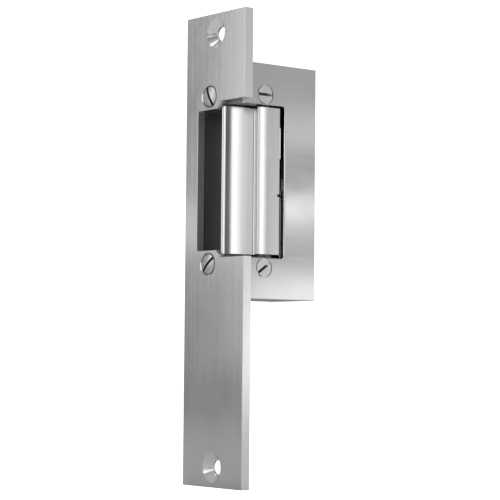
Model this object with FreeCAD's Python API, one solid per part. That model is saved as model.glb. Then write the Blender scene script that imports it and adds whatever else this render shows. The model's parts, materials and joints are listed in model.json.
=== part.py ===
import FreeCAD, Part
import math
import os

from FreeCAD import Vector

os.makedirs("parts", exist_ok=True)

# Electric door strike, millimetres. Origin: middle of the mounting-hole line on the faceplate's back.
# +X toward the side plate, +Y into the door jamb, +Z up the faceplate.

# ---- driving dimensions ----
PLATE_W = 46.0                    # faceplate width
PLATE_H = 228.6                   # faceplate height, 9 in
PLATE_T = 4.76                    # faceplate thickness, 3/16 in
HOLE_SPACING = 209.55             # mounting holes, 8-1/4 in
HOLE_R = 3.4
HOLE_SINK_R = 7.05

OPEN_Z = 33.5                     # middle of the faceplate opening
OPEN_LEFT = -13.4
OPEN_STEP_IN = 1.36               # where the corner chamfer starts
OPEN_STEP_OUT = 4.3               # where the corner chamfer ends
OPEN_NARROW_HALF = 34.14
OPEN_WIDE_HALF = 37.64
OPEN_BACK_CHAMFER = 0.7           # rear edge of the opening's left side

FACE_SCREW_X = -4.8
FACE_SCREW_DZ = 40.77
FACE_SCREW_RIM_R = 6.0            # outer edge of the shallow chamfer round the counterbore
FACE_SCREW_RIM_DEPTH = 0.45
FACE_SCREW_ANGLES = {1: 118.5, -1: 39.0}
FACE_SCREW_HEAD_R = 4.85
FACE_SCREW_DOME = 0.7
FACE_SCREW_SINK = 0.5             # rim of the head below the faceplate's front
FACE_SCREW_HEAD_H = 2.15
FACE_SCREW_SLOT = (1.4, 1.7)      # width and depth
FACE_SCREW_LENGTH = 15.4
FACE_SCREW_BORE_R = 5.3           # counterbore round the head

BODY_DEPTH = 45.0                 # from the faceplate's back to the rear edge
SIDE_OUT = 16.65                  # outer face of the side plate
SIDE_T = 1.4
SIDE_Z = 32.8                     # middle of the side plate
SIDE_HALF = 56.95
SIDE_OPEN_HALF = 36.9
SIDE_OPEN_DEPTH = 25.5
SIDE_SCREW_Y = 13.1
SIDE_SCREW_DZ = 41.86
SIDE_SCREW_HEAD_R = 4.4
SIDE_SCREW_SEAT_R = 4.45          # conical seat under the head
SIDE_SCREW_RING_R = 4.85          # relieved ring round the head
SIDE_SCREW_RING_DEPTH = 0.5
SIDE_SCREW_LENGTH = 10.0
SIDE_SCREW_SLOT = (1.4, 1.8)      # width and depth
SIDE_SCREW_ANGLES = {1: 90.0, -1: 125.0}
EDGE_ROUND = 0.25                 # broken edges of the two plates
OPENING_ROUND = 0.6               # rounded edge of the side plate's opening

BLOCK_DEPTH = {1: 26.0, -1: 30.5} # upper and lower block
SHELF_T = 3.8                     # end walls behind the blocks
WALL_OUT = -14.7                  # outer face of the housing's side wall
WALL_T = 3.0
COVER_T = 1.8
HOUSING_CHAMFER = 0.3

POCKET_DEPTH = 16.0               # latch pocket, from the faceplate's back
POCKET_BACK_T = 1.5
POCKET_BACK_END = 0.8
POCKET_LEFT = -13.4               # relief in the side wall, level with the faceplate opening

PIN_X = 9.0                       # keeper pin
PIN_Y = 19.0
PIN_R = 2.5
PIN_CLEARANCE = 0.05
BUSH_R = 3.6
BUSH_LENGTH = 8.0

KEEPER_BOTTOM = -2.4
KEEPER_TOP = 68.8
KEEPER_LEFT = 3.0                 # face on the latch pocket
NOSE_R = 2.6
NOSE_TURN = 58.0                  # degrees of arc from the front to the lip
REAR_RIB_Z = (44.3, 59.4)
TAIL_HALF_W = 2.5
TAIL_END = 28.8
TAIL_BOTTOM = 35.5
TAIL_TOP = 43.5

SPRING_Z = 26.4                   # lower turn of the keeper spring
SPRING_MEAN_R = 3.3
SPRING_WIRE_R = 0.4
SPRING_HEIGHT = 6.0
SPRING_POST_X = 10.85
SPRING_POST_Y = 27.85
SPRING_POST_R = 1.0
SLOT_HALF = 0.7                   # slot in the keeper for the fixed leg of its spring
SLOT_START = 20.2
SLOT_SKIN_X = 13.6
SLOT_SKIN_START = 22.2

LEVER_PIN_X = -8.2                # locking lever
LEVER_PIN_Z = 34.0
LEVER_PIN_R = 1.5
LEVER_DROP = 20.0                 # degrees below the locked position when unpowered
LEVER_REACH = 14.35
LEVER_FRONT = 26.0
STRUT_T = 4.0
LINK_ARM = 10.2
LINK_PIN_R = 1.0

COIL_X = 2.0                      # solenoid
COIL_Y = 36.3
COIL_R = 6.4
PLUNGER_R = 3.6
FRAME_BOTTOM = 45.0
FRAME_TOP = 84.0
FRAME_W = 18.0
FRAME_T = 1.6
PLUNGER_TOP = 66.0
PLUNGER_RING_Z = 36.6
CORE_THREAD_R = 2.0
NUT_R = 3.4                       # corner radius of the core nut

BRACKET_BOTTOM = 46.0             # mechanism plate
BRACKET_TOP = 59.0
BRACKET_FRONT = 26.2
BRACKET_END = 4.8
BRACKET_T = 1.6
BRACKET_DEPTH = 40.0

TERMINAL_X = 1.8                  # terminal block
TERMINAL_W = 19.0
TERMINAL_BOTTOM = -14.0
TERMINAL_TOP = -2.0
TERMINAL_FRONT = 35.0
TERMINALS = 3

FACE_SHANK_R = 2.75               # screw shanks
SIDE_SHANK_R = 2.0
WALL_SHANK_R = 1.5
WALL_HEAD_R = 2.8
COVER_SHANK_R = 1.0
SOLENOID_SHANK_R = 1.25
TERMINAL_SHANK_R = 1.2
HOLE_GAP = 0.1                    # radial clearance of a screw in the part that it clamps

# ---- derived positions ----
SIDE_IN = SIDE_OUT - SIDE_T
WALL_IN = WALL_OUT + WALL_T
BODY_BOTTOM = SIDE_Z - SIDE_HALF
BODY_TOP = SIDE_Z + SIDE_HALF
COVER_IN = BODY_DEPTH - COVER_T
GAP_BOTTOM = SIDE_Z - SIDE_OPEN_HALF
GAP_TOP = SIDE_Z + SIDE_OPEN_HALF
POCKET_BOTTOM = OPEN_Z - OPEN_NARROW_HALF
POCKET_TOP = OPEN_Z + OPEN_NARROW_HALF
LINK_DROP = LINK_ARM * math.tan(math.radians(LEVER_DROP))
LINK_Z = LEVER_PIN_Z - LINK_DROP
CORE_BOTTOM = PLUNGER_TOP + LINK_DROP + 0.3
FRAME_FRONT = BRACKET_FRONT + BRACKET_T


# ---- shape helpers ----
def box(x0, x1, y0, y1, z0, z1):
    return Part.makeBox(x1 - x0, y1 - y0, z1 - z0, Vector(x0, y0, z0))


def rod(axis, at, radius, start, end):
    """Cylinder along axis 'x', 'y' or 'z'; at holds the other two coordinates in order."""
    base = {
        "x": Vector(start, at[0], at[1]),
        "y": Vector(at[0], start, at[1]),
        "z": Vector(at[0], at[1], start),
    }[axis]
    direction = {"x": Vector(1, 0, 0), "y": Vector(0, 1, 0), "z": Vector(0, 0, 1)}[axis]
    return Part.makeCylinder(radius, end - start, base, direction)


def tube(axis, at, outer, inner, start, end):
    return rod(axis, at, outer, start, end).cut(rod(axis, at, inner, start, end))


def fuse(shapes):
    result = shapes[0]
    for shape in shapes[1:]:
        result = result.fuse(shape)
    return result.removeSplitter()


def cut(shape, tools):
    for tool in tools:
        shape = shape.cut(tool)
    return shape


def arc_edge(start, middle, end):
    return Part.Arc(start, middle, end).toShape()


def rounded_outline(corners):
    """Closed edge list through (x, y, radius) corners lying in the XY plane."""
    count = len(corners)
    entries = []
    for i in range(count):
        corner = Vector(corners[i][0], corners[i][1], 0)
        radius = corners[i][2]
        before = Vector(corners[i - 1][0], corners[i - 1][1], 0)
        after = Vector(corners[(i + 1) % count][0], corners[(i + 1) % count][1], 0)
        if radius == 0:
            entries.append((corner, None, corner))
            continue
        to_before = (before - corner).normalize()
        to_after = (after - corner).normalize()
        half = to_before.getAngle(to_after) / 2
        reach = radius / math.tan(half)
        bisector = (to_before + to_after).normalize()
        middle = corner + bisector * (radius / math.sin(half) - radius)
        entries.append((corner + to_before * reach, middle, corner + to_after * reach))
    edges = []
    for i in range(count):
        start, middle, end = entries[i]
        if middle is not None:
            edges.append(arc_edge(start, middle, end))
        edges.append(Part.makeLine(end, entries[(i + 1) % count][0]))
    return edges


def prism(corners, plane, start, end):
    """Extrude (u, v[, radius]) corners. Plane 'xy', 'xz' or 'yz' gives the two drawing axes."""
    full = [(c[0], c[1], c[2] if len(c) > 2 else 0) for c in corners]
    face = Part.Face(Part.Wire(rounded_outline(full)))
    solid = face.extrude(Vector(0, 0, end - start))
    axes = {
        "xy": (Vector(1, 0, 0), Vector(0, 1, 0), Vector(0, 0, 1)),
        "xz": (Vector(1, 0, 0), Vector(0, 0, 1), Vector(0, 1, 0)),
        "yz": (Vector(0, 1, 0), Vector(0, 0, 1), Vector(1, 0, 0)),
    }[plane]
    u, v, w = axes
    matrix = FreeCAD.Matrix(
        u.x, v.x, w.x, w.x * start,
        u.y, v.y, w.y, w.y * start,
        u.z, v.z, w.z, w.z * start,
        0, 0, 0, 1)
    return solid.transformGeometry(matrix) if plane == "xz" else solid.transformShape(matrix, True)


def chamfer_where(shape, size, test):
    edges = [edge for edge in shape.Edges if test(edge)]
    return shape.makeChamfer(size, edges)


def lies_on(edge, axis, value):
    bounds = edge.BoundBox
    low, high = {"x": (bounds.XMin, bounds.XMax), "y": (bounds.YMin, bounds.YMax),
                 "z": (bounds.ZMin, bounds.ZMax)}[axis]
    return abs(low - value) < 0.001 and abs(high - value) < 0.001


def aim(shape, origin, direction):
    """Move a shape drawn along +Z from the zero point to origin, pointing in direction."""
    placed = shape.copy()
    placed.Placement = FreeCAD.Placement(origin, FreeCAD.Rotation(Vector(0, 0, 1), direction))
    return placed


def slotted_screw(head_r, shank_r, length, slot_w, slot_depth, angle):
    """Countersunk screw pointing down -Z with the head's face at Z=0 and a slot across it."""
    sink = head_r - shank_r
    point = 0.6
    screw = fuse([
        Part.makeCone(shank_r, head_r, sink, Vector(0, 0, -sink)),
        Part.makeCylinder(shank_r, length - sink - point, Vector(0, 0, point - length)),
        Part.makeCone(shank_r - point, shank_r, point, Vector(0, 0, -length)),
    ])
    slot = Part.makeBox(3 * head_r, slot_w, 2 * slot_depth, Vector(-1.5 * head_r, -slot_w / 2, -slot_depth))
    slot.rotate(Vector(0, 0, 0), Vector(0, 0, 1), angle)
    return screw.cut(slot)


def domed_screw(head_r, head_h, dome, shank_r, length, slot_w, slot_depth, angle):
    """Round-headed screw pointing down -Z with the dome's rim at Z=0 and a slot across the head."""
    ball_r = (head_r ** 2 + dome ** 2) / (2 * dome)
    ball = Part.makeSphere(ball_r, Vector(0, 0, dome - ball_r))
    screw = fuse([
        ball.common(Part.makeCylinder(head_r, dome)),
        Part.makeCylinder(head_r, head_h, Vector(0, 0, -head_h)),
        Part.makeCylinder(shank_r, length, Vector(0, 0, -length)),
    ])
    slot = Part.makeBox(3 * head_r, slot_w, 2 * slot_depth,
                        Vector(-1.5 * head_r, -slot_w / 2, dome - slot_depth))
    slot.rotate(Vector(0, 0, 0), Vector(0, 0, 1), angle)
    return screw.cut(slot)


def pan_screw(head_r, head_h, shank_r, length, angle):
    """Round-headed slotted screw pointing down -Z with its seat at Z=0."""
    head = Part.makeCylinder(head_r, head_h)
    top = [edge for edge in head.Edges if lies_on(edge, "z", head_h)]
    head = head.makeFillet(head_h * 0.45, top)
    screw = head.fuse(Part.makeCylinder(shank_r, length, Vector(0, 0, -length)))
    slot = Part.makeBox(3 * head_r, head_r * 0.3, head_h, Vector(-1.5 * head_r, -head_r * 0.15, head_h * 0.5))
    slot.rotate(Vector(0, 0, 0), Vector(0, 0, 1), angle)
    return screw.removeSplitter().cut(slot)


def sink_tool(head_r, hole_r, depth):
    """Countersunk hole pointing down -Z with its rim at Z=0."""
    sink = head_r - hole_r
    tool = Part.makeCone(hole_r, head_r, sink, Vector(0, 0, -sink))
    tool = tool.fuse(Part.makeCylinder(hole_r, depth, Vector(0, 0, -depth)))
    return tool.fuse(Part.makeCylinder(head_r, 1.0, Vector(0, 0, 0)))


def export(name, shape):
    shape.exportStep("parts/" + name + ".step")


def export_group(name, shapes):
    export(name, Part.makeCompound(shapes))


OUTWARD = Vector(0, -1, 0)      # out of the faceplate's front
SIDEWAYS = Vector(1, 0, 0)      # out of the side plate
LEFTWARD = Vector(-1, 0, 0)     # out of the housing's side wall
REARWARD = Vector(0, 1, 0)      # out of the rear cover


def face_screw_points():
    return {end: Vector(FACE_SCREW_X, -PLATE_T, OPEN_Z + end * FACE_SCREW_DZ) for end in (1, -1)}


def side_screw_points():
    return {end: Vector(SIDE_OUT, SIDE_SCREW_Y, SIDE_Z + end * SIDE_SCREW_DZ) for end in (1, -1)}


def wall_screw_points():
    return [Vector(WALL_OUT, y, z) for z in (BODY_BOTTOM + 8, BODY_TOP - 8) for y in (6.0, 20.0)]


def cover_screw_points():
    return [Vector(x, BODY_DEPTH, z) for z in (BODY_BOTTOM + 1.9, BODY_TOP - 1.9) for x in (-8.0, 11.0)]


# ---- faceplate ----
def make_faceplate():
    half_w = PLATE_W / 2
    half_h = PLATE_H / 2
    plate = box(-half_w, half_w, -PLATE_T, 0, -half_h, half_h)
    opening = prism([
        (OPEN_LEFT, OPEN_Z - OPEN_NARROW_HALF, 0.4),
        (OPEN_STEP_IN, OPEN_Z - OPEN_NARROW_HALF),
        (OPEN_STEP_OUT, OPEN_Z - OPEN_WIDE_HALF),
        (half_w + 5, OPEN_Z - OPEN_WIDE_HALF),
        (half_w + 5, OPEN_Z + OPEN_WIDE_HALF),
        (OPEN_STEP_OUT, OPEN_Z + OPEN_WIDE_HALF),
        (OPEN_STEP_IN, OPEN_Z + OPEN_NARROW_HALF),
        (OPEN_LEFT, OPEN_Z + OPEN_NARROW_HALF, 0.4),
    ], "xz", -PLATE_T - 1, 1)
    plate = plate.cut(opening)
    plate = chamfer_where(plate, OPEN_BACK_CHAMFER,
                          lambda edge: lies_on(edge, "y", 0) and lies_on(edge, "x", OPEN_LEFT))
    front = [edge for edge in plate.Edges if lies_on(edge, "y", -PLATE_T)]
    plate = plate.makeFillet(EDGE_ROUND, front)
    for end in (1, -1):
        origin = Vector(0, -PLATE_T, end * HOLE_SPACING / 2)
        plate = plate.cut(aim(sink_tool(HOLE_SINK_R, HOLE_R, PLATE_T + 1), origin, OUTWARD))
    for origin in face_screw_points().values():
        bore_depth = FACE_SCREW_SINK + FACE_SCREW_HEAD_H
        plate = cut(plate, [
            aim(Part.makeCone(FACE_SCREW_BORE_R, FACE_SCREW_RIM_R, FACE_SCREW_RIM_DEPTH,
                              Vector(0, 0, -FACE_SCREW_RIM_DEPTH)), origin, OUTWARD),
            aim(Part.makeCylinder(FACE_SCREW_BORE_R, bore_depth, Vector(0, 0, -bore_depth)), origin, OUTWARD),
            aim(Part.makeCylinder(FACE_SHANK_R + HOLE_GAP, PLATE_T + 1, Vector(0, 0, -PLATE_T - 1)),
                origin, OUTWARD),
        ])
    export("faceplate", plate)


def make_face_screws():
    screws = []
    for end, origin in face_screw_points().items():
        screw = domed_screw(FACE_SCREW_HEAD_R, FACE_SCREW_HEAD_H, FACE_SCREW_DOME, FACE_SHANK_R,
                            FACE_SCREW_LENGTH, *FACE_SCREW_SLOT, FACE_SCREW_ANGLES[end])
        screws.append(aim(screw, origin + Vector(0, FACE_SCREW_SINK, 0), OUTWARD))
    export_group("faceplate_screws", screws)


# ---- side plate ----
def make_side_plate():
    plate = box(SIDE_IN, SIDE_OUT, 0, BODY_DEPTH, BODY_BOTTOM, BODY_TOP)
    opening = prism([
        (-5, GAP_BOTTOM),
        (SIDE_OPEN_DEPTH, GAP_BOTTOM, 1.5),
        (SIDE_OPEN_DEPTH, GAP_TOP, 1.5),
        (-5, GAP_TOP),
    ], "yz", SIDE_IN - 1, SIDE_OUT + 1)
    plate = plate.cut(opening)
    outer = [edge for edge in plate.Edges if lies_on(edge, "x", SIDE_OUT)]
    rim = [edge for edge in outer if any(lies_on(edge, "z", z) for z in (BODY_BOTTOM, BODY_TOP))
           or lies_on(edge, "y", BODY_DEPTH)]
    plate = plate.makeFillet(EDGE_ROUND, rim)
    opening_edges = [edge for edge in plate.Edges if lies_on(edge, "x", SIDE_OUT)
                     and edge.BoundBox.ZMin > GAP_BOTTOM - 1 and edge.BoundBox.ZMax < GAP_TOP + 1]
    plate = plate.makeFillet(OPENING_ROUND, opening_edges)
    for origin in side_screw_points().values():
        plate = cut(plate, [
            aim(sink_tool(SIDE_SCREW_SEAT_R, SIDE_SHANK_R + HOLE_GAP, 12), origin, SIDEWAYS),
            aim(Part.makeCylinder(SIDE_SCREW_RING_R, 1, Vector(0, 0, -SIDE_SCREW_RING_DEPTH)),
                origin, SIDEWAYS),
        ])
    export("side_plate", plate)


def make_side_screws():
    screws = []
    for end, origin in side_screw_points().items():
        screw = slotted_screw(SIDE_SCREW_HEAD_R, SIDE_SHANK_R, SIDE_SCREW_LENGTH, *SIDE_SCREW_SLOT,
                              SIDE_SCREW_ANGLES[end])
        screws.append(aim(screw, origin, SIDEWAYS))
    export_group("side_plate_screws", screws)


# ---- housing ----
def end_block(sign):
    """Upper (sign 1) or lower (sign -1) block between the side wall and the side plate."""
    if sign > 0:
        pocket, gap, end = POCKET_TOP, GAP_TOP, BODY_TOP
    else:
        pocket, gap, end = POCKET_BOTTOM, GAP_BOTTOM, BODY_BOTTOM
    depth = BLOCK_DEPTH[sign]
    shelf = end - sign * SHELF_T
    block = fuse([
        box(WALL_IN, OPEN_STEP_IN, 0, depth, min(pocket, end), max(pocket, end)),
        box(OPEN_STEP_IN, SIDE_IN, 0, depth, min(gap, end), max(gap, end)),
        box(WALL_IN, SIDE_IN, depth, COVER_IN, min(shelf, end), max(shelf, end)),
    ])
    face_hole = Part.makeCylinder(FACE_SHANK_R, 12, Vector(0, 0, -12))
    side_hole = sink_tool(SIDE_SCREW_SEAT_R, SIDE_SHANK_R, SIDE_SCREW_LENGTH)
    tools = [
        aim(face_hole, Vector(FACE_SCREW_X, 0, face_screw_points()[sign].z), OUTWARD),
        aim(side_hole, side_screw_points()[sign], SIDEWAYS),
    ]
    tools += [aim(Part.makeCylinder(WALL_SHANK_R, 11, Vector(0, 0, -11)), p, LEFTWARD)
              for p in wall_screw_points() if (p.z > SIDE_Z) == (sign > 0)]
    tools += [aim(Part.makeCylinder(COVER_SHANK_R, 8, Vector(0, 0, -8)), p, REARWARD)
              for p in cover_screw_points() if (p.z > SIDE_Z) == (sign > 0)]
    inner = gap - sign
    outer = gap + sign * (BUSH_LENGTH + 4)
    tools.append(rod("z", (PIN_X, PIN_Y), BUSH_R, min(inner, outer), max(inner, outer)))
    back = (WALL_IN - 1, POCKET_BACK_END, POCKET_DEPTH, POCKET_DEPTH + POCKET_BACK_T)
    tools.append(box(*back, min(pocket - sign, pocket + 2 * sign), max(pocket - sign, pocket + 2 * sign)))
    if sign < 0:
        tools.append(rod("z", (SPRING_POST_X, SPRING_POST_Y), SPRING_POST_R, gap - 8, gap + 1))
    return cut(block, tools)


def make_side_wall():
    wall = box(WALL_OUT, WALL_IN, 0, COVER_IN, BODY_BOTTOM, BODY_TOP)
    ends = (BODY_BOTTOM, BODY_TOP)
    wall = chamfer_where(wall, HOUSING_CHAMFER, lambda e: lies_on(e, "x", WALL_OUT) and any(
        lies_on(e, "z", z) for z in ends))
    lug_z = (LEVER_PIN_Z - 4, LEVER_PIN_Z + 4)
    front_lug = box(WALL_IN, LEVER_PIN_X + 3.4, 21.8, LEVER_FRONT - 0.3, *lug_z)
    rear_lug = box(WALL_IN, LEVER_PIN_X + 3.4, 38.3, 41.2, *lug_z)
    wall = fuse([wall, front_lug, rear_lug])
    wall = wall.cut(box(POCKET_LEFT, WALL_IN + 1, -1, POCKET_DEPTH, POCKET_BOTTOM, POCKET_TOP))
    wall = wall.cut(rod("y", (LEVER_PIN_X, LEVER_PIN_Z), LEVER_PIN_R, 21, 42))
    for origin in wall_screw_points() + bracket_screw_points():
        wall = wall.cut(aim(sink_tool(WALL_HEAD_R + HOLE_GAP, WALL_SHANK_R + HOLE_GAP, 12), origin, LEFTWARD))
    export("side_wall", wall)


def make_rear_cover():
    cover = box(WALL_OUT, SIDE_IN, COVER_IN, BODY_DEPTH, BODY_BOTTOM, BODY_TOP)
    cover = chamfer_where(cover, HOUSING_CHAMFER, lambda e: lies_on(e, "y", BODY_DEPTH))
    cover = cover.cut(box(TERMINAL_X - TERMINAL_W / 2 - 0.4, TERMINAL_X + TERMINAL_W / 2 + 0.4,
                          COVER_IN - 1, BODY_DEPTH + 1, TERMINAL_BOTTOM - 0.4, TERMINAL_TOP + 0.4))
    for origin in cover_screw_points():
        hole = Part.makeCylinder(COVER_SHANK_R + HOLE_GAP, 5, Vector(0, 0, -4))
        cover = cover.cut(aim(hole, origin, REARWARD))
    export("rear_cover", cover)


def make_housing_screws():
    wall_screws = []
    for i, place in enumerate(wall_screw_points()):
        screw = slotted_screw(WALL_HEAD_R, WALL_SHANK_R, 10.0, 0.7, 0.8, 30.0 * i)
        wall_screws.append(aim(screw, place, LEFTWARD))
    export_group("wall_screws", wall_screws)
    cover_screws = []
    for i, place in enumerate(cover_screw_points()):
        screw = pan_screw(1.9, 1.2, COVER_SHANK_R, 7.0, 25.0 + 40.0 * i)
        cover_screws.append(aim(screw, place, REARWARD))
    export_group("cover_screws", cover_screws)


def make_pocket_back():
    back = box(WALL_IN, POCKET_BACK_END, POCKET_DEPTH, POCKET_DEPTH + POCKET_BACK_T,
               POCKET_BOTTOM - 2, POCKET_TOP + 2)
    export("pocket_back_plate", back)


# ---- keeper ----
def smooth_edge(points):
    curve = Part.BSplineCurve()
    curve.interpolate([Vector(x, y, 0) for x, y in points])
    return curve.toShape()


def keeper_profile():
    """Plan view of the keeper: rounded nose, front lip, groove, rear lobe and hub."""
    nose_start = Vector(KEEPER_LEFT, -NOSE_R, 0)
    turn = math.radians(NOSE_TURN)
    nose_middle = Vector(KEEPER_LEFT + NOSE_R * math.sin(turn / 2), -NOSE_R * math.cos(turn / 2), 0)
    nose_end = Vector(KEEPER_LEFT + NOSE_R * math.sin(turn), -NOSE_R * math.cos(turn), 0)
    lip = [(nose_end.x, nose_end.y), (5.85, 0.05), (6.4, 1.9), (6.8, 4.2), (7.1, 6.8), (7.3, 9.6),
           (7.4, 12.6)]
    lobe = [(14.1, 10.95), (14.4, 11.8), (14.76, 13.4), (14.98, 15.2), (15.11, 17.8), (15.15, 20.6),
            (15.15, 23.4)]
    groove_bottom = (Vector(8.7, 13.5, 0), Vector(12.9, 11.0, 0))
    edges = [
        arc_edge(nose_start, nose_middle, nose_end),
        smooth_edge(lip),
        arc_edge(Vector(*lip[-1], 0), Vector(7.9, 13.55, 0), groove_bottom[0]),
        Part.makeLine(*groove_bottom),
        arc_edge(groove_bottom[1], Vector(13.6, 10.75, 0), Vector(*lobe[0], 0)),
        smooth_edge(lobe),
    ]
    rear = [Vector(x, y, 0) for x, y in (
        lobe[-1], (11.8, 24.3), (6.6, 24.5), (4.1, 21.6), (4.1, 16.2), (KEEPER_LEFT, 13.4),
        (nose_start.x, nose_start.y))]
    edges += [Part.makeLine(rear[i], rear[i + 1]) for i in range(len(rear) - 1)]
    return Part.Face(Part.Wire(edges))


def make_keeper():
    keeper = keeper_profile()
    keeper.translate(Vector(0, 0, KEEPER_BOTTOM))
    keeper = keeper.extrude(Vector(0, 0, KEEPER_TOP - KEEPER_BOTTOM))
    tail = prism([
        (PIN_X - TAIL_HALF_W, PIN_Y),
        (PIN_X + TAIL_HALF_W, PIN_Y),
        (PIN_X + TAIL_HALF_W, TAIL_END, 0.5),
        (PIN_X - TAIL_HALF_W, TAIL_END, 0.5),
    ], "xy", TAIL_BOTTOM, TAIL_TOP)
    window_z = (SPRING_Z - 1.2, SPRING_Z + SPRING_HEIGHT + 1.2)
    slot_z = (SPRING_Z - SLOT_HALF, SPRING_Z + SLOT_HALF)
    rear_rib = prism([(15.1, 23.0), (14.8, 24.4, 0.5), (13.9, 24.9), (12.6, 23.9)], "xy", *REAR_RIB_Z)
    keeper = keeper.fuse(tail).fuse(rear_rib).removeSplitter()
    keeper = cut(keeper, [
        rod("z", (PIN_X, PIN_Y), PIN_R, KEEPER_BOTTOM - 1, KEEPER_TOP + 1),
        rod("z", (PIN_X, PIN_Y), SPRING_MEAN_R + SPRING_WIRE_R + 0.3, *window_z),
        box(3.0, PIN_X, 15.4, 26, *window_z),
        box(PIN_X - 1, SLOT_SKIN_X, SLOT_START, 26, *slot_z),
        box(SLOT_SKIN_X - 1, SIDE_IN, SLOT_SKIN_START, 26, *slot_z),
    ])
    export("keeper", keeper)


def make_keeper_pin():
    pin = rod("z", (PIN_X, PIN_Y), PIN_R, GAP_BOTTOM - BUSH_LENGTH - 2, GAP_TOP + BUSH_LENGTH + 2)
    export("keeper_pin", pin.makeChamfer(0.4, pin.Edges[0:1] + pin.Edges[2:3]))


def make_bushes():
    bore = PIN_R + PIN_CLEARANCE
    at = (PIN_X, PIN_Y)
    upper = tube("z", at, BUSH_R, bore, GAP_TOP, GAP_TOP + BUSH_LENGTH + 2)
    flange = tube("z", at, BUSH_R + 0.6, bore, GAP_BOTTOM, KEEPER_BOTTOM - 0.25)
    lower = tube("z", at, BUSH_R, bore, GAP_BOTTOM - BUSH_LENGTH - 2, GAP_BOTTOM).fuse(flange)
    export("upper_bush", upper)
    export("lower_bush", lower.removeSplitter())


def helix_wire(radius, wire_r, pitch, height, left_handed):
    """Round wire wound about +Z from (radius, 0, 0)."""
    per_turn = 16
    step = 2 * math.pi / per_turn * (-1 if left_handed else 1)
    points = [Vector(radius * math.cos(step * i), radius * math.sin(step * i), pitch * i / per_turn)
              for i in range(round(height / pitch * per_turn) + 1)]
    path = Part.BSplineCurve()
    path.interpolate(points)
    direction = path.tangent(path.FirstParameter)[0]
    ring = Part.Wire(Part.makeCircle(wire_r, points[0], direction))
    return Part.Wire(path.toShape()).makePipeShell([ring], True, True)


def make_keeper_spring():
    coil = helix_wire(SPRING_MEAN_R, SPRING_WIRE_R, 0.95, SPRING_HEIGHT, True)
    coil.translate(Vector(PIN_X, PIN_Y, SPRING_Z))
    leg_x = PIN_X + SPRING_MEAN_R
    leg_end = SPRING_POST_Y + 1.2
    leg = rod("y", (leg_x, SPRING_Z), SPRING_WIRE_R, PIN_Y - 0.3, leg_end)
    export("keeper_spring", coil.fuse(leg))
    post = rod("z", (SPRING_POST_X, SPRING_POST_Y), SPRING_POST_R, GAP_BOTTOM - 8, SPRING_Z + 3)
    export("spring_post", post.makeChamfer(0.3, [e for e in post.Edges if lies_on(e, "z", SPRING_Z + 3)]))


def make_keeper_stop():
    contact_x = PIN_X + TAIL_HALF_W + 0.3
    stop = box(contact_x, SIDE_IN, SIDE_OPEN_DEPTH + 1.1, TAIL_END, TAIL_BOTTOM + 0.5, TAIL_TOP - 0.5)
    export("keeper_stop", stop.makeFillet(0.5, [e for e in stop.Edges if lies_on(e, "x", contact_x)]))


# ---- locking lever ----
def make_locking_lever():
    at = (0, 0)
    strut = prism([
        (0, -3.0), (LEVER_REACH - 4, -3.6), (LEVER_REACH, -3.6), (LEVER_REACH, 5.2),
        (LEVER_REACH - 4.2, 5.2, 0.4), (LEVER_REACH - 5.0, 2.2), (0, 3.0),
    ], "xz", LEVER_FRONT, LEVER_FRONT + STRUT_T)
    strut = strut.common(rod("y", at, LEVER_REACH, LEVER_FRONT - 1, LEVER_FRONT + STRUT_T + 1))
    link_arm = prism([
        (0, -2.8), (LINK_ARM + 3.2, -2.6, 2.0), (LINK_ARM + 3.2, 2.6, 2.0), (0, 2.8),
    ], "xz", COIL_Y - 1.4, COIL_Y + 1.4)
    barrel = rod("y", at, 3.2, LEVER_FRONT, 38.0)
    lever = fuse([barrel, strut, link_arm])
    slot_ends = (LINK_ARM - 0.2, LINK_ARM / math.cos(math.radians(LEVER_DROP)) + 0.2)
    slot_r = LINK_PIN_R + 0.2
    slot = [rod("y", (x, 0), slot_r, COIL_Y - 3, COIL_Y + 3) for x in slot_ends]
    slot.append(box(slot_ends[0], slot_ends[1], COIL_Y - 3, COIL_Y + 3, -slot_r, slot_r))
    lever = cut(lever, [rod("y", at, LEVER_PIN_R + PIN_CLEARANCE, 20, 42)] + slot)
    lever.rotate(Vector(0, 0, 0), Vector(0, 1, 0), LEVER_DROP)
    lever.translate(Vector(LEVER_PIN_X, 0, LEVER_PIN_Z))
    export("locking_lever", lever)


def make_lever_pin():
    at = (LEVER_PIN_X, LEVER_PIN_Z)
    export("lever_pin", rod("y", at, LEVER_PIN_R, 21.8, 42.4))
    clip = tube("y", at, 2.9, LEVER_PIN_R, 41.2, 41.9)
    clip = clip.cut(box(LEVER_PIN_X - 0.9, LEVER_PIN_X + 0.9, 41, 42, LEVER_PIN_Z - 4, LEVER_PIN_Z))
    export("lever_pin_clip", clip)


# ---- solenoid ----
def make_plunger():
    at = (COIL_X, COIL_Y)
    plunger = rod("z", at, PLUNGER_R, LINK_Z - 3.2, PLUNGER_TOP)
    ends = (LINK_Z - 3.2, PLUNGER_TOP)
    plunger = chamfer_where(plunger, 0.4, lambda e: any(lies_on(e, "z", z) for z in ends))
    clevis = box(COIL_X - 6, COIL_X + 6, COIL_Y - 1.6, COIL_Y + 1.6, LINK_Z - 4, PLUNGER_RING_Z - 1.6)
    plunger = cut(plunger, [clevis, rod("y", (COIL_X, LINK_Z), LINK_PIN_R, COIL_Y - 6, COIL_Y + 6)])
    export("plunger", plunger)
    export("link_pin", rod("y", (COIL_X, LINK_Z), LINK_PIN_R, COIL_Y - 3.2, COIL_Y + 3.2))
    export("plunger_ring", tube("z", at, 5.2, PLUNGER_R, PLUNGER_RING_Z - 1.0, PLUNGER_RING_Z))


def make_plunger_spring():
    height = FRAME_BOTTOM - PLUNGER_RING_Z - 0.9
    spring = helix_wire(4.5, 0.35, height / 4.25, height, True)
    spring.translate(Vector(COIL_X, COIL_Y, PLUNGER_RING_Z + 0.45))
    export("plunger_spring", spring)


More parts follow.
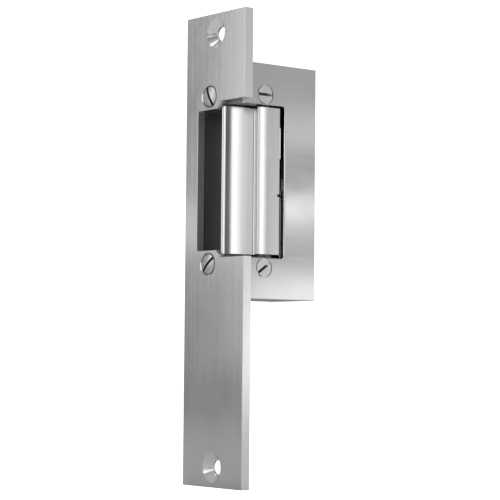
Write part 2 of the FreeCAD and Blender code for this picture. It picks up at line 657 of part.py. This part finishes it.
def make_solenoid():
    at = (COIL_X, COIL_Y)
    left = COIL_X - FRAME_W / 2
    right = COIL_X + FRAME_W / 2
    front = FRAME_FRONT
    rear = COVER_IN - 0.4
    frame = fuse([
        box(left, right, front, front + FRAME_T, FRAME_BOTTOM, FRAME_TOP),
        box(left, right, front, rear, FRAME_BOTTOM, FRAME_BOTTOM + FRAME_T),
        box(left, right, front, rear, FRAME_TOP - FRAME_T, FRAME_TOP),
    ])
    frame = cut(frame, [
        rod("z", at, PLUNGER_R + 0.4, FRAME_BOTTOM - 1, FRAME_BOTTOM + 3),
        rod("z", at, CORE_THREAD_R, FRAME_TOP - 3, FRAME_TOP + 1),
    ] + [rod("y", (p.x, p.z), SOLENOID_SHANK_R, front - 1, front + 3) for p in solenoid_screw_points()])
    export("solenoid_frame", frame)
    low = FRAME_BOTTOM + FRAME_T
    high = FRAME_TOP - FRAME_T
    bobbin = fuse([
        tube("z", at, PLUNGER_R + 1.0, PLUNGER_R + 0.4, low, high),
        tube("z", at, COIL_R, PLUNGER_R + 0.4, low, low + 1.2),
        tube("z", at, COIL_R, PLUNGER_R + 0.4, high - 1.2, high),
    ])
    export("solenoid_bobbin", bobbin)
    export("solenoid_coil", tube("z", at, COIL_R - 0.3, PLUNGER_R + 1.0, low + 1.2, high - 1.2))
    core = rod("z", at, PLUNGER_R + 0.2, CORE_BOTTOM, high)
    export("solenoid_core", core.fuse(rod("z", at, CORE_THREAD_R, high, FRAME_TOP + 1.8)))
    corners = []
    for i in range(6):
        turn = math.radians(60 * i)
        corners.append((COIL_X + NUT_R * math.cos(turn), COIL_Y + NUT_R * math.sin(turn)))
    nut = prism(corners, "xy", FRAME_TOP, FRAME_TOP + 1.6)
    export("core_nut", nut.cut(rod("z", at, CORE_THREAD_R, FRAME_TOP - 1, FRAME_TOP + 3)))


# ---- mechanism plate ----
def solenoid_screw_points():
    return [Vector(COIL_X + dx, BRACKET_FRONT, 52.5) for dx in (-6.5, -0.5)]


def bracket_screw_points():
    return [Vector(WALL_OUT, 36.0, z) for z in (BRACKET_BOTTOM + 3, BRACKET_TOP - 3)]


def make_mechanism_plate():
    front = box(WALL_IN, BRACKET_END, BRACKET_FRONT, FRAME_FRONT, BRACKET_BOTTOM, BRACKET_TOP)
    flange = box(WALL_IN, WALL_IN + BRACKET_T, BRACKET_FRONT, BRACKET_DEPTH, BRACKET_BOTTOM, BRACKET_TOP)
    plate = fuse([front, flange])
    tools = [aim(sink_tool(2.4, SOLENOID_SHANK_R, 4), p, OUTWARD) for p in solenoid_screw_points()]
    flange_hole = Part.makeCylinder(WALL_SHANK_R, 8, Vector(0, 0, -8))
    tools += [aim(flange_hole, p, LEFTWARD) for p in bracket_screw_points()]
    export("mechanism_plate", cut(plate, tools))
    solenoid_screw = slotted_screw(2.3, SOLENOID_SHANK_R, 3.2, 0.6, 0.6, 50.0)
    export_group("solenoid_screws", [aim(solenoid_screw, p, OUTWARD) for p in solenoid_screw_points()])
    bracket_screw = slotted_screw(WALL_HEAD_R, WALL_SHANK_R, 4.6, 0.7, 0.8, 15.0)
    export_group("bracket_screws", [aim(bracket_screw, p, LEFTWARD) for p in bracket_screw_points()])


# ---- terminal block ----
def make_terminal_block():
    left = TERMINAL_X - TERMINAL_W / 2
    body = box(left, left + TERMINAL_W, TERMINAL_FRONT, BODY_DEPTH, TERMINAL_BOTTOM, TERMINAL_TOP)
    ears = box(left - 3, left + TERMINAL_W + 3, COVER_IN - 2.0, COVER_IN, TERMINAL_BOTTOM, TERMINAL_TOP)
    body = body.fuse(ears).removeSplitter()
    tools = []
    screws = []
    for i in range(TERMINALS):
        x = left + TERMINAL_W * (i + 0.5) / TERMINALS
        tools.append(rod("y", (x, TERMINAL_TOP - 3.4), 2.2, BODY_DEPTH - 3.0, BODY_DEPTH + 1))
        tools.append(box(x - 1.8, x + 1.8, BODY_DEPTH - 6, BODY_DEPTH + 1,
                         TERMINAL_BOTTOM + 1.5, TERMINAL_BOTTOM + 5))
        tools.append(rod("y", (x, TERMINAL_TOP - 3.4), TERMINAL_SHANK_R, BODY_DEPTH - 8.0, BODY_DEPTH))
        screw = pan_screw(1.9, 1.4, TERMINAL_SHANK_R, 4.5, 20.0 + 50.0 * i)
        screws.append(aim(screw, Vector(x, BODY_DEPTH - 3.0, TERMINAL_TOP - 3.4), REARWARD))
    export("terminal_block", cut(body, tools))
    export_group("terminal_screws", screws)


make_faceplate()
make_face_screws()
make_side_plate()
make_side_screws()
export("upper_block", end_block(1))
export("lower_block", end_block(-1))
make_side_wall()
make_rear_cover()
make_housing_screws()
make_pocket_back()
make_keeper()
make_keeper_pin()
make_bushes()
make_keeper_spring()
make_keeper_stop()
make_locking_lever()
make_lever_pin()
make_plunger()
make_plunger_spring()
make_solenoid()
make_mechanism_plate()
make_terminal_block()
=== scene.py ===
import bpy
import json
import math
from mathutils import Matrix, Vector


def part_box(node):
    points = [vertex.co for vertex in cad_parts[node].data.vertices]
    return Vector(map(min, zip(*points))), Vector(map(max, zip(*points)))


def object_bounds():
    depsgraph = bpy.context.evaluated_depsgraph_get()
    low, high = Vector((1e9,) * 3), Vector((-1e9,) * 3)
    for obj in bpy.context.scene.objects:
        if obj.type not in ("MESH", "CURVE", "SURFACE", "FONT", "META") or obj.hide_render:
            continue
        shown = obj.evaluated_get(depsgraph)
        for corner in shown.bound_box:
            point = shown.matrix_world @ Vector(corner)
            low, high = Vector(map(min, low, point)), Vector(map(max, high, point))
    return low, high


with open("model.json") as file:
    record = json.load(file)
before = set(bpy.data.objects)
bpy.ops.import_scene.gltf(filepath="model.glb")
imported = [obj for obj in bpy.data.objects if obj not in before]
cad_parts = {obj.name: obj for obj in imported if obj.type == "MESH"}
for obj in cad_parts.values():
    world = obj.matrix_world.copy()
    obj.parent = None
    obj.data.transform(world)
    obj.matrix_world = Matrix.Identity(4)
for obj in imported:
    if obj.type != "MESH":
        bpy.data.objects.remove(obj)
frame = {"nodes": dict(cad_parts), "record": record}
cad_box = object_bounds()
face_low, face_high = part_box("faceplate")
nodes = frame["nodes"]
scene = bpy.context.scene


# ---- material building ----
class Nodes:
    """Small helper around one material's node tree."""

    def __init__(self, name):
        self.material = bpy.data.materials.new(name)
        self.material.use_nodes = True
        self.tree = self.material.node_tree
        self.tree.nodes.clear()
        self.output = self.add("ShaderNodeOutputMaterial")
        self.shader = self.add("ShaderNodeBsdfPrincipled")
        self.link(self.shader.outputs["BSDF"], self.output.inputs["Surface"])
        self.place = self.add("ShaderNodeTexCoord").outputs["Object"]

    def add(self, kind, **settings):
        node = self.tree.nodes.new(kind)
        for key, value in settings.items():
            setattr(node, key, value)
        return node

    def link(self, source, target):
        self.tree.links.new(source, target)

    def stretched(self, scale):
        mapping = self.add("ShaderNodeMapping")
        mapping.inputs["Scale"].default_value = scale
        self.link(self.place, mapping.inputs["Vector"])
        return mapping.outputs["Vector"]

    def noise(self, scale, detail=3.0, roughness=0.6):
        """Noise whose cells are 1 / scale metres along each axis."""
        node = self.add("ShaderNodeTexNoise")
        node.inputs["Scale"].default_value = 1.0
        node.inputs["Detail"].default_value = detail
        node.inputs["Roughness"].default_value = roughness
        self.link(self.stretched(scale), node.inputs["Vector"])
        return node.outputs["Fac"]

    def spread(self, value, low, high, start=0.3, end=0.7):
        """Map start..end to low..high."""
        node = self.add("ShaderNodeMapRange")
        node.inputs["From Min"].default_value = start
        node.inputs["From Max"].default_value = end
        node.inputs["To Min"].default_value = low
        node.inputs["To Max"].default_value = high
        self.link(value, node.inputs["Value"])
        return node.outputs["Result"]

    def math(self, operation, a, b):
        node = self.add("ShaderNodeMath", operation=operation)
        for socket, value in zip(node.inputs, (a, b)):
            if isinstance(value, (int, float)):
                socket.default_value = value
            else:
                self.link(value, socket)
        return node.outputs["Value"]

    def mix_colour(self, factor, a, b):
        node = self.add("ShaderNodeMix", data_type="RGBA")
        self.link(factor, node.inputs["Factor"])
        node.inputs["A"].default_value = (*a, 1)
        node.inputs["B"].default_value = (*b, 1)
        return node.outputs["Result"]

    def bump(self, height, distance):
        node = self.add("ShaderNodeBump")
        node.inputs["Distance"].default_value = distance
        self.link(height, node.inputs["Height"])
        self.link(node.outputs["Normal"], self.shader.inputs["Normal"])


STREAK_SHARE = 0.55
CLOUD_SHARE = 0.45

# tones of single faces, all painted light: highlights on outer edges and countersinks, lighter upright
# walls, painted shade on the other inner walls and in screw slots; and how far in from the edge the edge
# highlight starts and is full
EDGE_HIGHLIGHT_TONE = 0.94
EDGE_START = 0.0005
EDGE_FULL = 0.0002
WALL_SHADE_TONE = 0.36
UPRIGHT_WALL_LIT_TONE = 0.88
UPRIGHT_WALL_ROUGHER = 0.3
COUNTERSINK_HIGHLIGHT_TONE = 0.93
PLATE_EDGE_HIGHLIGHT_TONE = 0.95
SLOT_SHADE_TONE = 0.10

# distances from the strike's middle at which the painted shade in a screw slot starts and is full
FACE_SLOT = (0.0044, 0.0037)
SIDE_SLOT = (0.0164, 0.0156)


def grey(value):
    """Neutral metal, very slightly cool."""
    return (value, value, value * 1.005)


def metal(name, light, dark, rough, grain, grain_depth, blotch=60.0, stain=0.5):
    """Worked metal: grain is the noise scale along X, Y and Z, so a small number runs along the lay."""
    n = Nodes(name)
    streaks = n.noise(grain, 4.0, 0.65)
    cloud = n.noise((blotch, blotch, blotch * stain), 4.0, 0.55)
    tone = n.math("ADD", n.math("MULTIPLY", streaks, STREAK_SHARE), n.math("MULTIPLY", cloud, CLOUD_SHARE))
    n.link(n.mix_colour(n.spread(tone, 0.0, 1.0, 0.35, 0.65), dark, light), n.shader.inputs["Base Color"])
    n.shader.inputs["Metallic"].default_value = 1.0
    n.link(n.math("ADD", n.spread(streaks, rough[0], rough[1]), n.spread(cloud, -0.02, 0.03)),
           n.shader.inputs["Roughness"])
    n.bump(streaks, grain_depth)
    return n


def facing(n, axis, start, end):
    """1 on faces that look along the axis, 0 on faces that stand across it."""
    parts = n.add("ShaderNodeSeparateXYZ")
    n.link(n.add("ShaderNodeNewGeometry").outputs["True Normal"], parts.inputs["Vector"])
    return n.spread(n.math("ABSOLUTE", parts.outputs[axis], 0.0), 0.0, 1.0, start, end)


def away(n, axis, start, end):
    """0 to 1 from the distance start to the distance end along the axis, from the strike's middle."""
    parts = n.add("ShaderNodeSeparateXYZ")
    n.link(n.place, parts.inputs["Vector"])
    return n.spread(n.math("ABSOLUTE", parts.outputs[axis], 0.0), 0.0, 1.0, start, end)


def tint(n, mask, tone):
    """Change the metal's tone where the mask is 1."""
    before = n.shader.inputs["Base Color"].links[0].from_socket
    blend = n.add("ShaderNodeMix", data_type="RGBA")
    n.link(mask, blend.inputs["Factor"])
    n.link(before, blend.inputs["A"])
    blend.inputs["B"].default_value = (*grey(tone), 1)
    n.link(blend.outputs["Result"], n.shader.inputs["Base Color"])


def faceplate_metal():
    """Satin front; painted highlights on the outer edges and countersinks, painted light on the upright
    walls in the opening and bores, painted shade on their other walls.
    """
    n = metal("satin_faceplate", grey(0.66), grey(0.57), (0.12, 0.18), (2800, 2800, 5), 0.000008)
    across = n.math("SUBTRACT", 1.0, facing(n, "Y", 0.3, 0.6))
    outer = n.math("MAXIMUM",
                   away(n, "X", face_high.x - EDGE_START, face_high.x - EDGE_FULL),
                   away(n, "Z", face_high.z - EDGE_START, face_high.z - EDGE_FULL))
    # painted highlight on the faceplate's outer edges
    tint(n, n.math("MULTIPLY", across, outer), EDGE_HIGHLIGHT_TONE)
    inner = n.math("MULTIPLY", across, n.math("SUBTRACT", 1.0, outer))
    upright = n.math("MULTIPLY", inner, facing(n, "X", 0.5, 0.8))
    # painted shade on the walls of the opening and the bores
    tint(n, inner, WALL_SHADE_TONE)
    # painted light: the upright walls of the opening and bores are toned lighter than the other walls
    tint(n, upright, UPRIGHT_WALL_LIT_TONE)
    # painted highlight that lightens the countersinks
    sloped = n.math("SUBTRACT", facing(n, "Y", 0.6, 0.65), facing(n, "Y", 0.75, 0.8))
    tint(n, sloped, COUNTERSINK_HIGHLIGHT_TONE)
    smooth = n.shader.inputs["Roughness"].links[0].from_socket
    rougher = n.math("MULTIPLY", upright, UPRIGHT_WALL_ROUGHER)
    n.link(n.math("ADD", smooth, rougher), n.shader.inputs["Roughness"])
    return n


def side_plate_metal():
    """Mirror-like rolled sheet whose sheared edges carry a painted highlight."""
    n = metal("rolled_plate", grey(0.65), grey(0.62), (0.08, 0.10), (500, 60, 500), 0.0000002, 25.0, 2.0)
    # painted highlight on the plate's edges
    tint(n, facing(n, "Y", 0.3, 0.6), PLATE_EDGE_HIGHLIGHT_TONE)
    return n


def slotted_metal(name, light, dark, grain, axis, slot):
    """Screw with painted shade in its slot: slot holds where the painted shade starts and is full along the
    axis.
    """
    n = metal(name, grey(light), grey(dark), (0.22, 0.32), grain, 0.000006)
    # painted shade in the screw slot
    tint(n, away(n, axis, *slot), SLOT_SHADE_TONE)
    return n


def moulded(name, light, dark, rough, grain=2500.0, depth=0.00004):
    """Moulded plastic, rubber or tape: rough is the middle of its roughness."""
    n = Nodes(name)
    fine = n.noise((grain, grain, grain), 2.0, 0.5)
    cloud = n.noise((120, 120, 120), 3.0, 0.5)
    n.link(n.mix_colour(n.spread(cloud, 0.0, 1.0), dark, light), n.shader.inputs["Base Color"])
    n.link(n.spread(fine, rough - 0.06, rough + 0.08), n.shader.inputs["Roughness"])
    n.bump(fine, depth)
    return n


MATERIALS = {
    "faceplate_steel": faceplate_metal(),
    "plate_steel": side_plate_metal(),
    "keeper_steel": metal("polished_keeper", grey(0.80), grey(0.75), (0.20, 0.25),
                          (1500, 1500, 10), 0.0000012),
    "screw_steel": metal("turned_screw", grey(0.86), grey(0.74), (0.26, 0.38), (2600, 500, 500), 0.000008),
    "faceplate_screw": slotted_metal("domed_screw", 0.62, 0.50, (400, 2600, 400), "Y", FACE_SLOT),
    "side_plate_screw": slotted_metal("flush_screw", 0.84, 0.72, (2600, 400, 400), "X", SIDE_SLOT),
    "pocket_back": metal("dull_plate", grey(0.50), grey(0.40), (0.34, 0.46), (900, 900, 900), 0.00001),
    "pin_steel": metal("ground_pin", grey(0.6), grey(0.5), (0.16, 0.26), (300, 300, 4000), 0.000004),
    "spring_steel": metal("drawn_wire", grey(0.5), grey(0.38), (0.25, 0.4), (1500, 1500, 1500), 0.000006),
    "lever_steel": metal("blasted_lever", grey(0.46), grey(0.36), (0.38, 0.52), (3000, 3000, 3000), 0.00002),
    "plated_steel": metal("zinc_plate", (0.62, 0.62, 0.6), (0.5, 0.5, 0.49), (0.26, 0.42),
                          (700, 700, 700), 0.000008),
    "cast_alloy": metal("cast_alloy", grey(0.36), grey(0.29), (0.36, 0.5), (900, 900, 900), 0.00003),
    "bronze": metal("oiled_bronze", (0.24, 0.21, 0.17), (0.18, 0.155, 0.12), (0.34, 0.48),
                    (2500, 2500, 200), 0.000008),
    "stop_rubber": moulded("stop_rubber", grey(0.045), grey(0.025), 0.75),
    "bobbin_plastic": moulded("bobbin_nylon", grey(0.1), grey(0.06), 0.45),
    "coil_tape": moulded("coil_tape", (0.05, 0.05, 0.06), (0.03, 0.03, 0.035), 0.4, 900.0, 0.00003),
    "terminal_plastic": moulded("terminal_nylon", (0.05, 0.16, 0.08), (0.03, 0.11, 0.05), 0.42),
}

# nodes whose material isn't that of their slot
OWN_MATERIAL = {
    "faceplate_screws": "faceplate_screw",
    "side_plate_screws": "side_plate_screw",
    "pocket_back_plate": "pocket_back",
}

for entry in frame["record"]["subparts"]:
    slot = OWN_MATERIAL.get(entry["node"], entry["material_slot"])
    obj = nodes[entry["node"]]
    obj.data.materials.clear()
    obj.data.materials.append(MATERIALS[slot].material)


# ---- camera values: angles in degrees, and the backdrop faces along CAMERA_AZ ----
CAMERA_AZ = 51.32
CAMERA_PITCH = 3.3
CAMERA_ROLL = 0.52
CAMERA_DISTANCE = 0.8624
CAMERA_LENS = 131.69
CAMERA_RIGHT = 0.00313
CAMERA_DOWN = 0.00153


# ---- floor and backdrop ----
FLOOR_REACH = 1.6
FLOOR_HALF_WIDTH = 3.0
SWEEP_RADIUS = 0.8
SWEEP_STEPS = 12
SWEEP_HEIGHT = 2.4


def make_sweep():
    """Pale floor that curves up into the backdrop, white to the camera only."""
    floor_z = cad_box[0][2]
    profile = [(-FLOOR_REACH, floor_z), (0.0, floor_z)]
    for i in range(SWEEP_STEPS + 1):
        turn = math.radians(90 * i / SWEEP_STEPS)
        along = FLOOR_REACH + SWEEP_RADIUS * math.sin(turn)
        profile.append((along, floor_z + SWEEP_RADIUS * (1 - math.cos(turn))))
    profile.append((FLOOR_REACH + SWEEP_RADIUS, floor_z + SWEEP_HEIGHT))
    back = Vector((-math.sin(math.radians(CAMERA_AZ)), math.cos(math.radians(CAMERA_AZ)), 0))
    side = Vector((back.y, -back.x, 0))
    vertices = []
    for along, z in profile:
        for sideways in (-FLOOR_HALF_WIDTH, FLOOR_HALF_WIDTH):
            point = back * along + side * sideways
            vertices.append((point.x, point.y, z))
    faces = [(2 * i, 2 * i + 1, 2 * i + 3, 2 * i + 2) for i in range(len(profile) - 1)]
    mesh = bpy.data.meshes.new("studio_sweep")
    mesh.from_pydata(vertices, [], faces)
    mesh.polygons.foreach_set("use_smooth", [True] * len(mesh.polygons))
    sweep = bpy.data.objects.new("studio_sweep", mesh)
    scene.collection.objects.link(sweep)
    n = Nodes("studio_paper")
    cloud = n.noise((3, 3, 3), 2.0, 0.5)
    n.link(n.mix_colour(cloud, grey(0.74), grey(0.78)), n.shader.inputs["Base Color"])
    n.shader.inputs["Roughness"].default_value = 0.95
    n.shader.inputs["Specular IOR Level"].default_value = 0.1
    n.shader.inputs["Emission Color"].default_value = (1, 1, 1, 1)
    n.link(n.add("ShaderNodeLightPath").outputs["Is Camera Ray"], n.shader.inputs["Emission Strength"])
    mesh.materials.append(n.material)


# ---- camera ----
def make_camera():
    az = math.radians(CAMERA_AZ)
    pitch = math.radians(CAMERA_PITCH)
    roll = math.radians(CAMERA_ROLL)
    level_right = Vector((math.cos(az), math.sin(az), 0))
    level_forward = Vector((-math.sin(az), math.cos(az), 0))
    rise = Vector((0, 0, 1))
    forward = math.cos(pitch) * level_forward + math.sin(pitch) * rise
    tilted_up = -math.sin(pitch) * level_forward + math.cos(pitch) * rise
    right = math.cos(roll) * level_right + math.sin(roll) * tilted_up
    up = -math.sin(roll) * level_right + math.cos(roll) * tilted_up
    aim = Vector((face_high.x, face_low.y, (face_low.z + face_high.z) / 2))
    place = aim + CAMERA_RIGHT * right - CAMERA_DOWN * up - CAMERA_DISTANCE * forward
    data = bpy.data.cameras.new("camera")
    data.sensor_width = 36.0
    data.lens = CAMERA_LENS
    data.clip_start = 0.01
    camera = bpy.data.objects.new("camera", data)
    turn = Matrix((right, up, -forward)).transposed().to_4x4()
    camera.matrix_world = Matrix.Translation(place) @ turn
    scene.collection.objects.link(camera)
    scene.camera = camera


# ---- lights ----
def softbox(name, bearing, height, width, tall, brightness, distance=1.3, tilt=0.0):
    """Soft rectangular light facing the strike; bearing is in degrees from -Y toward +X."""
    turn = math.radians(bearing)
    place = Vector((math.sin(turn) * distance, -math.cos(turn) * distance, height))
    data = bpy.data.lights.new(name, "AREA")
    data.shape = "RECTANGLE"
    data.size = width
    data.size_y = tall
    data.energy = brightness * math.pi * width * tall
    lamp = bpy.data.objects.new(name, data)
    inward = Vector((-place.x, -place.y, 0)).to_track_quat("-Z", "Y").to_matrix().to_4x4()
    lamp.matrix_world = Matrix.Translation(place) @ inward @ Matrix.Rotation(math.radians(tilt), 4, "Z")
    lamp.visible_camera = False
    scene.collection.objects.link(lamp)


def overhead(name, height, size, brightness):
    """Soft square light straight above the strike."""
    data = bpy.data.lights.new(name, "AREA")
    data.size = size
    data.energy = brightness * math.pi * size * size
    lamp = bpy.data.objects.new(name, data)
    lamp.location = (0, 0, height)
    lamp.visible_camera = False
    scene.collection.objects.link(lamp)


# the room dims toward this bearing, in degrees from -Y toward +X; the fade runs between two cosines
DARK_BEARING = 64.0
ROOM_BRIGHT = 0.40
ROOM_DIM = 0.10
FADE_START = 0.40
FADE_END = 0.90


def make_world():
    """Even room light, dimmer round DARK_BEARING and white to the camera."""
    world = bpy.data.worlds.new("studio")
    world.use_nodes = True
    tree = world.node_tree
    background = tree.nodes["Background"]
    background.inputs["Color"].default_value = (1, 1, 1, 1)
    place = tree.nodes.new("ShaderNodeTexCoord")
    toward = tree.nodes.new("ShaderNodeVectorMath")
    toward.operation = "DOT_PRODUCT"
    bearing = math.radians(DARK_BEARING)
    toward.inputs[1].default_value = (math.sin(bearing), -math.cos(bearing), 0)
    tree.links.new(place.outputs["Generated"], toward.inputs[0])
    fade = tree.nodes.new("ShaderNodeMapRange")
    fade.inputs["From Min"].default_value = FADE_START
    fade.inputs["From Max"].default_value = FADE_END
    fade.inputs["To Min"].default_value = ROOM_BRIGHT
    fade.inputs["To Max"].default_value = ROOM_DIM
    tree.links.new(toward.outputs["Value"], fade.inputs["Value"])
    seen = tree.nodes.new("ShaderNodeMix")
    tree.links.new(tree.nodes.new("ShaderNodeLightPath").outputs["Is Camera Ray"], seen.inputs["Factor"])
    tree.links.new(fade.outputs["Result"], seen.inputs["A"])
    seen.inputs["B"].default_value = 1.0
    tree.links.new(seen.outputs["Result"], background.inputs["Strength"])
    scene.world = world


def make_lights():
    """Large boxes light the faces; strips and cards make the bands on the two plates."""
    softbox("front_box", 14, 0.25, 1.0, 1.1, 1.0)
    softbox("right_box", 104, 0.25, 0.52, 1.1, 1.3)
    softbox("right_fade", 117.8, 0.25, 0.11, 1.1, 0.45)
    softbox("left_strip", -58.3, 0.06, 0.14, 0.045, 0.6, 0.7)
    softbox("left_box", -38.5, 0.27, 0.29, 0.46, 0.95, 0.7)
    softbox("left_low", -38.5, -0.01, 0.29, 0.10, 0.45, 0.7)
    softbox("side_fill", 133, 0.25, 0.36, 1.2, 0.14, 1.7)
    softbox("side_strip", 130, 0.135, 0.17, 0.036, 1.05, 1.5, 3)
    softbox("upper_strip", 130, 0.24, 0.17, 0.05, 0.30, 1.5)
    softbox("low_card", 131.3, -0.15, 0.14, 0.39, 0.60, 1.5)
    softbox("low_fill", 131.3, -0.14, 0.19, 0.42, 0.34, 1.55)
    softbox("edge_card", 127.3, -0.17, 0.06, 0.26, 0.40, 1.5)
    softbox("back_box", 200, 0.35, 1.3, 1.3, 0.55)
    softbox("far_box", 260, 0.35, 1.2, 1.3, 0.45)
    overhead("top_box", 1.2, 1.0, 1.0)


make_camera()
make_sweep()
make_world()
make_lights()
scene.view_settings.view_transform = "Standard"
